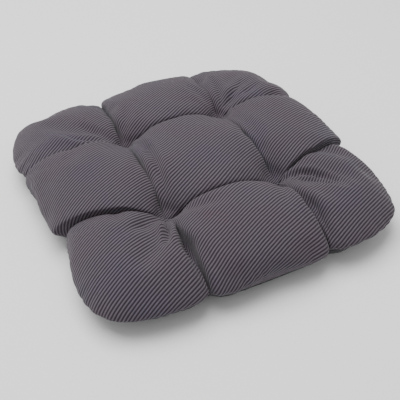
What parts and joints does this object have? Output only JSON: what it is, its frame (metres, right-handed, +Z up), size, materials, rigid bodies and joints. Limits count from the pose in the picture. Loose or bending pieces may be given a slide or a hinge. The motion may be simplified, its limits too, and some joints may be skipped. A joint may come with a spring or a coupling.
{
  "type": "chair seat pad",
  "caption": "Square tufted seat pad with rounded corners: ribbed top, plain grip underside, fibre filling, and cord ties that draw top and bottom together.",
  "frame": {"origin": "on the floor plane under the middle of the pad's outline", "axes": "+X to the sitter's right across the width, +Y towards the chair's back, +Z up"},
  "size_m": [0.4, 0.4072, 0.0749],
  "materials": {
    "ribbed_twill": "matt woven twill in fine diagonal ribs, grey and near black",
    "grip_backing": "charcoal non-slip backing cloth",
    "fibre_fill": "white polyester fibre filling",
    "sewing_thread": "dark grey spun polyester sewing thread",
    "tie_cord": "dark grey waxed tufting cord"
  },
  "bodies": {
    "root": {"top_panel": "ribbed_twill", "bottom_panel": "grip_backing", "fibre_fill": "fibre_fill", "perimeter_seam_thread": "sewing_thread", "seam_overlock_thread": "sewing_thread", "closing_stitch_thread": "sewing_thread", "tuft_tie_front_left": "tie_cord", "tuft_tie_front_right": "tie_cord", "tuft_tie_back_left": "tie_cord", "tuft_tie_back_right": "tie_cord"}
  },
  "joints": []
}
